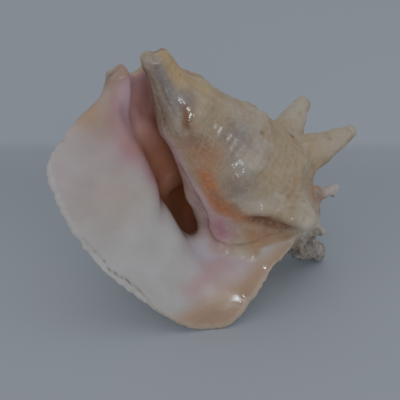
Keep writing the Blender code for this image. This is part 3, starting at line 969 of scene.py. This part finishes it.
lay(MAUVE, deep * fade(bz, 14, 36))
# Painted shade: a darker plum on the lower fold beside the trough, where shade falls.
lay(PLUM_SHADE, 0.75 * inside * hump(turn, 0.12, 0.09) * ease(z, 6, 16) * fade(z, 28, 46))
lay(TAN, 0.9 * inside * fade(bz, -1, 6) * ease(turn, -0.05, 0.02))
lay(PEACH, 0.5 * inside * patch(35, 1, 0, 5))
lay(SAND, mask_pillar * fade(around, 12, 26) * ease(z, 20, 50))
lay(BLUSH, 0.9 * mask_pillar * hump(around, 26, 9) * ease(z, 30, 50) * fade(z, 128, 140))
lay(BLUSH, 0.75 * (mask_pillar + inside) * stroke((36, 17, 92), (38, 19, 122), 5.5))
lay(ROSE, 0.6 * (mask_pillar + inside) * patch(38, 18, 118, 9))
lay(LAVENDER, 0.8 * (mask_pillar + inside) * patch(52, 12, 124, 6))
hole = np.maximum(inside, mask_pillar) * ease(-turn, 0.05, 0.12) * ease(z, 84, 98) * (forward < 4)
lay(EMBER, soft_mask(hole, 3))
shore = tongue_near * np.clip(mask_pillar + inside, 0, 1)
shore = shore * ease(x, 27, 36)
low = ease(z, 104, 117)
lay(BLUSH, 0.85 * shore * hump(tongue_in, 2.0 + 3.5 * low, 1.7 + 4.0 * low) * fade(z, 124, 132))
lay(ROSE, 0.8 * shore * hump(tongue_in, 5.0, 4.0) * low * fade(z, 124, 132))
broken_up = ease(layered(points, 7.0, 2, 69) + 1.2 * hump(z, 119, 7), -0.1, 0.6)
# Two dark lines just outside the glaze's edge: partly its own brown, partly painted shade at the foot of the
# step.
lay(UMBER, 0.55 * tongue_near * hump(tongue_in, -0.4, 0.9) * broken_up)
lay(SEPIA, 0.30 * shore * hump(tongue_in, -1.8, 1.6))
print("mean paint after the inside:", tint.mean(0).round(2))

# %% Tip, rim and spire
near_tip = skin * fade(z, 34, 52) * ease(forward, -5, 1)
lay(STRAW, 0.5 * near_tip * hump(around, 135, 26) * fade(bz, 24, 34))
lay(PEARL, 0.9 * near_tip * hump(around, 74, 26) * fade(z, 24, 34))
lay(SEPIA, 0.85 * near_tip * fade(around, 46, 76))
stria = layered(np.stack([around / 5, z / 22, 0 * z], 1), 1.0, 2, 91)
lay(UMBER, 0.75 * near_tip * fade(around, 75, 100) * ease(stria, 0.1, 0.7))
lay(CHALK, 0.3 * near_tip * fade(around, 80, 105) * ease(-stria, 0.35, 0.8))
lay(PEARL, 0.8 * skin * patch(6, 15, 32, 7))
lay(UMBER, 0.95 * skin * (stroke((8, 18, 38), (17, 20, 46), 5) + 0.6 * patch(17, 21, 55, 5)))
canal_side = skin * fade(around, 8, 20) * ease(z, 24, 40) * fade(z, 60, 80)
lay(BLUSH, 0.7 * canal_side * ease(forward, -2, 2))
lay(CHALK, 0.45 * ease(-z, -6, 0) * skin * fade(x, 12, 20))
lay(LIME, 0.85 * mask_rim * fade(z, 100, 135))
lay(CHALK, 0.6 * mask_rim * ease(z, 100, 135))
lay(UMBER, 0.8 * inside * flake_here * hump(rim_share, flake_edge, 0.005))
lay(PEARL, 0.5 * spire)
lay(LIME, 0.40 * spire)
lay(DARK_BROWN, 0.58 * spire * ease(layered(points, 6.5, 3, 81), -0.35, 0.45))
# Darker where the surface is hollow, most of all on the spire.
hollow_by = np.sum(normals * (neighbour_mean(points) - points), axis=1)
lay(DARK_BROWN, 0.5 * skin * ease(hollow_by, 0.02, 0.10) * (0.12 + 0.88 * spire))
lay(UMBER, 0.12 * skin * ease(hollow_by, 0.01, 0.06) * ease(layered(points, 12.0, 2, 85), -0.1, 0.5))
lay(LIME, 0.9 * skin * stump)
lay(BLUSH, 0.25 * skin * stump)
lay(RUST, 0.75 * skin * (patch(-23, 4, 168, 6) + patch(-20, 15, 152, 7)))
print("mean paint at the end:", tint.mean(0).round(2))

# %% [markdown]
# ## Gloss
# Enamel is glossy, and the sea's chalk isn't. A second number on each point says how rough it is, and
# a few more say where the nodes may put their fine detail.

# %% Roughness and attributes on the points
CHALK_ROUGH, SPIRE_ROUGH, RIM_ROUGH = 0.72, 0.88, 0.62
ENAMEL_ROUGH, PILLAR_ROUGH, CORNER_ROUGH = 0.10, 0.11, 0.36

rough = np.full(len(points), CHALK_ROUGH)


def finish(value, share):
    """Moves the roughness to the value, by the share."""
    rough[:] = rough + (value - rough) * np.clip(share, 0, 1)


finish(ENAMEL_ROUGH, inside)
finish(ENAMEL_ROUGH, glazed_front)
finish(PILLAR_ROUGH, mask_pillar * fade(around, 20, 40))
finish(CORNER_ROUGH, inside * ease(end_line, -18, -4) * ease(x, 52, 66) * fade(rim_share, 0.8, 0.9))
finish(RIM_ROUGH, mask_rim)
finish(SPIRE_ROUGH, spire)
print("roughness from", rough.min().round(2), "to", rough.max().round(2))
solid.attributes.remove(solid.attributes["growth"])


def store(name, values, kind="FLOAT", field="value"):
    """Puts a value for each point into the mesh."""
    layer = solid.attributes.new(name, kind, "POINT")
    layer.data.foreach_set(field, np.ascontiguousarray(values, dtype=np.float32).ravel())


store("tint", np.concatenate([tint, np.ones((len(tint), 1))], 1), "FLOAT_COLOR", "color")
store("rough", rough)
store("glazed", np.clip(glazed_front, 0, 1))
store("netted", np.clip(0.75 * glazed_front * stroke((12, 26, 62), (10, 33, 104), 15), 0, 1))
store("chalk", np.clip(skin * (1 - glazed_front), 0, 1))
store("strands", np.stack([radius * np.radians(around), z, 0 * z], 1), "FLOAT_VECTOR", "vector")

# %% [markdown]
# The mesh can't hold detail finer than its cells. The nodes add it: a mottled grain, pale streaks, dark
# pinholes and brown stains in the chalk, and a net of thin strands in the glaze.

# %% Shell material
GRAIN_TONE = (0.50, 0.40, 0.32, 1)
STREAK_TONE = (0.74, 0.70, 0.62, 1)
SPECK_TONE = (0.10, 0.06, 0.04, 1)
STAIN_TONE = (0.42, 0.29, 0.17, 1)
STRAND_TONE = (0.78, 0.72, 0.64, 1)
BUMP_DEPTH = 0.0008


def shell_finish():
    """Paint times grain, specks where it is chalk, pale strands where it is glaze, then bump."""
    material, tree, shader, place = matter("shell")

    def stored(name, output="Fac"):
        return add(tree, "ShaderNodeAttribute", attribute_name=name).outputs[output]

    def grain(scale, detail=4.0):
        given = {"Scale": scale, "Detail": detail, "Vector": place}
        return add(tree, "ShaderNodeTexNoise", given).outputs["Fac"]

    def mix(factor, a, b, kind="MIX"):
        given = {0: factor, 6: a, 7: b}
        return add(tree, "ShaderNodeMix", given, data_type="RGBA", blend_type=kind).outputs[2]

    def span(value, low, high, to_low=0.0, to_high=1.0):
        given = {"Value": value, "From Min": low, "From Max": high, "To Min": to_low, "To Max": to_high}
        return add(tree, "ShaderNodeMapRange", given).outputs["Result"]

    def maths(kind, a, b):
        return add(tree, "ShaderNodeMath", {0: a, 1: b}, operation=kind).outputs[0]

    def strands(turned, scale, thin):
        """Thin bands across the growth, turned and bent by noise."""
        given = {"Rotation": (0.0, 0.0, turned), "Vector": stored("strands", "Vector")}
        spun = add(tree, "ShaderNodeMapping", given).outputs["Vector"]
        given = {"Scale": scale, "Distortion": 5.0, "Detail": 2.0, "Detail Scale": 0.12, "Vector": spun}
        return span(add(tree, "ShaderNodeTexWave", given).outputs["Fac"], 1 - thin, 1.0)

    colour = stored("tint", "Color")
    colour = mix(span(grain(70), 0.3, 0.7, 0.0, 0.22), colour, GRAIN_TONE, "MULTIPLY")
    outside_share = maths("ADD", stored("chalk"), stored("glazed"))
    streaks = maths("MULTIPLY", span(grain(420, 6.0), 0.50, 0.68, 0.0, 0.16), outside_share)
    colour = mix(streaks, colour, STREAK_TONE)
    specks = add(tree, "ShaderNodeTexVoronoi", {"Scale": 62.0, "Vector": place}).outputs["Distance"]
    dots = maths("MULTIPLY", span(specks, 0.16, 0.07), span(grain(26), 0.54, 0.62))
    colour = mix(maths("MULTIPLY", dots, stored("chalk")), colour, SPECK_TONE)
    stain = maths("MULTIPLY", span(grain(150, 6.0), 0.56, 0.70, 0.0, 0.5), stored("chalk"))
    colour = mix(stain, colour, STAIN_TONE)
    net = maths("MAXIMUM", strands(0.5, 0.052, 0.016), strands(-0.75, 0.044, 0.016))
    net = maths("MULTIPLY", net, stored("netted"))
    net = maths("MULTIPLY", net, span(grain(70), 0.44, 0.60, 0.0, 0.50))
    colour = mix(net, colour, STRAND_TONE)
    wire(tree, colour, shader.inputs["Base Color"])

    patchy = span(grain(55, 5.0), 0.3, 0.7, -0.03, 0.08)
    wire(tree, maths("ADD", stored("rough"), patchy), shader.inputs["Roughness"])
    fine = maths("MULTIPLY", grain(420, 8.0), span(stored("rough"), 0.25, 0.75, 0.10, 1.0))
    soft = maths("MULTIPLY", grain(95, 3.0), span(stored("glazed"), 0.0, 1.0, 0.3, 1.0))
    given = {"Strength": 0.55, "Distance": BUMP_DEPTH, "Height": maths("ADD", fine, soft)}
    wire(tree, add(tree, "ShaderNodeBump", given).outputs["Normal"], shader.inputs["Normal"])
    return material


solid.materials.clear()
solid.materials.append(shell_finish())
solid.shade_smooth()
shell = put(solid, "shell_skin")
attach(shell, "root")
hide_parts("conch_shell")
print("triangles:", sum(len(p.vertices) - 2 for p in solid.polygons))

# %% [markdown]
# ## Floor, light and camera
# The shell lies on a pale sheet, painted a little darker behind the shell as painted shade and lighter beyond
# as painted light, where it stands for a backdrop lit from the front. The light is dim and soft, with a few
# small lamps far off that only show as sparks on the gloss. The camera stands where the photographer stood:
# 0.9 m off, 30 degrees above level.

# %% Floor
FLOOR_HALF = 3.0
FLOOR_ROUGH = 0.9
FLOOR_PAINT = np.array([0.51, 0.56, 0.63])
FLOOR_FROM, FLOOR_TO = -0.05, 0.20           # y in metres between which the tone changes
# Painted shade behind the shell and painted light beyond it, as tones of the floor's paint.
FLOOR_SHADE_AND_LIGHT = [(0.0, 1.0), (0.70, 0.87), (0.86, 0.91), (0.95, 1.08)]     # share of the way, tone


def floor_finish():
    """Matte paint times a tone, which is a smooth ramp of y: painted shade behind the shell, painted light
    farther off.
    """
    material, tree, shader, place = matter("floor paint")
    y_axis = add(tree, "ShaderNodeSeparateXYZ", {"Vector": place}).outputs["Y"]
    way = add(tree, "ShaderNodeMapRange", {"Value": y_axis, "From Min": FLOOR_FROM, "From Max": FLOOR_TO})
    ramp = add(tree, "ShaderNodeValToRGB", {"Fac": way.outputs["Result"]})
    ramp.color_ramp.interpolation = "EASE"
    stops = ramp.color_ramp.elements
    while len(stops) < len(FLOOR_SHADE_AND_LIGHT):
        stops.new(0.5)
    for stop, (share, tone) in zip(stops, FLOOR_SHADE_AND_LIGHT):
        stop.position = share
        stop.color = (*(tone * FLOOR_PAINT), 1)
    wire(tree, ramp.outputs["Color"], shader.inputs["Base Color"])
    wire(tree, FLOOR_ROUGH, shader.inputs["Roughness"])
    return material


h = FLOOR_HALF
floor_mesh = bpy.data.meshes.new("floor")
floor_mesh.from_pydata([(-h, -h, 0), (h, -h, 0), (h, h, 0), (-h, h, 0)], [], [(0, 1, 2, 3)])
floor_mesh.materials.append(floor_finish())
put(floor_mesh, "floor")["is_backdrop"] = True
print("floor's half side in m:", FLOOR_HALF)

# %% Camera
CAMERA_AWAY = 900.0
SENSOR = 36.0
MM_PER_PIXEL = 0.626519          # at the axis point below
AXIS_POINT = np.array([0, 0, 120.0])
AXIS_POINT_PIXEL = np.array([252.78, 174.0])
PICTURE_MIDDLE = np.array([200.0, 200.0])
PICTURE_WIDE = 400

view_axes = view_matrix()
right, up, toward = view_axes.T
target = pose_matrix() @ AXIS_POINT + PLACE
off = (AXIS_POINT_PIXEL - PICTURE_MIDDLE) * MM_PER_PIXEL
eye = (target + toward * CAMERA_AWAY - right * off[0] + up * off[1]) * MM

lens = bpy.data.cameras.new("camera")
lens.sensor_width = SENSOR
lens.lens = SENSOR * CAMERA_AWAY / MM_PER_PIXEL / PICTURE_WIDE
lens.clip_start = 0.05
camera = put(lens, "camera")
camera.matrix_world = Matrix.Translation(Vector(eye)) @ Matrix(view_axes.tolist()).to_4x4()
bpy.context.scene.camera = camera
print("camera at", eye.round(3), "lens", round(lens.lens, 1), "mm")

# %% Light
def lamp(name, at, power, size, aim=(0, 0, 0.08)):
    """A square soft light at a place, aimed at the shell."""
    data = bpy.data.lights.new(name, "AREA")
    data.energy = power
    data.size = size
    thing = put(data, name)
    thing.location = at
    thing.rotation_euler = (Vector(aim) - Vector(at)).to_track_quat("-Z", "Y").to_euler()
    return thing


SOFT_LAMPS = [("ceiling", (0.15, -0.35, 1.6), 2.5, 1.5), ("front", (0.25, -1.5, 0.75), 3.3, 0.9)]
# azimuth and height in degrees, power
SPARKS = [("spark right", 32, 20, 3.4), ("spark far right", 43, 29, 2.4), ("spark low", 24, 11, 2.0),
          ("spark high", 8, 38, 2.6)]
SPARK_AWAY, SPARK_SIZE = 2.2, 0.05
ROOM_TONE, ROOM_STRENGTH = (0.77, 0.79, 0.83, 1), 0.44

for name, at, power, size in SOFT_LAMPS:
    lamp(name, at, power, size).visible_glossy = False
for name, azimuth, high, power in SPARKS:
    a, e = np.radians(azimuth), np.radians(high)
    at = SPARK_AWAY * np.array([np.sin(a) * np.cos(e), -np.cos(a) * np.cos(e), np.sin(e)])
    lamp(name, at, power, SPARK_SIZE).visible_diffuse = False
world = bpy.data.worlds.new("room")
world.use_nodes = True
sky = world.node_tree.nodes["Background"].inputs
sky["Color"].default_value = ROOM_TONE
sky["Strength"].default_value = ROOM_STRENGTH
bpy.context.scene.world = world
print("lamps:", len(SOFT_LAMPS) + len(SPARKS))

# %% [markdown]
# ## Sizes
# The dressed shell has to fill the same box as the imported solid, so both boxes are kept and printed.

# %% Keep the sizes and finish
boxes = {
    "solid": [list(cad_low), list(cad_high)],
    "visual": [list(corner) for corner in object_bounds()],
}
for name, (low, high) in boxes.items():
    print(name, "box in mm:", [round(1000 * v, 1) for v in low], [round(1000 * v, 1) for v in high])
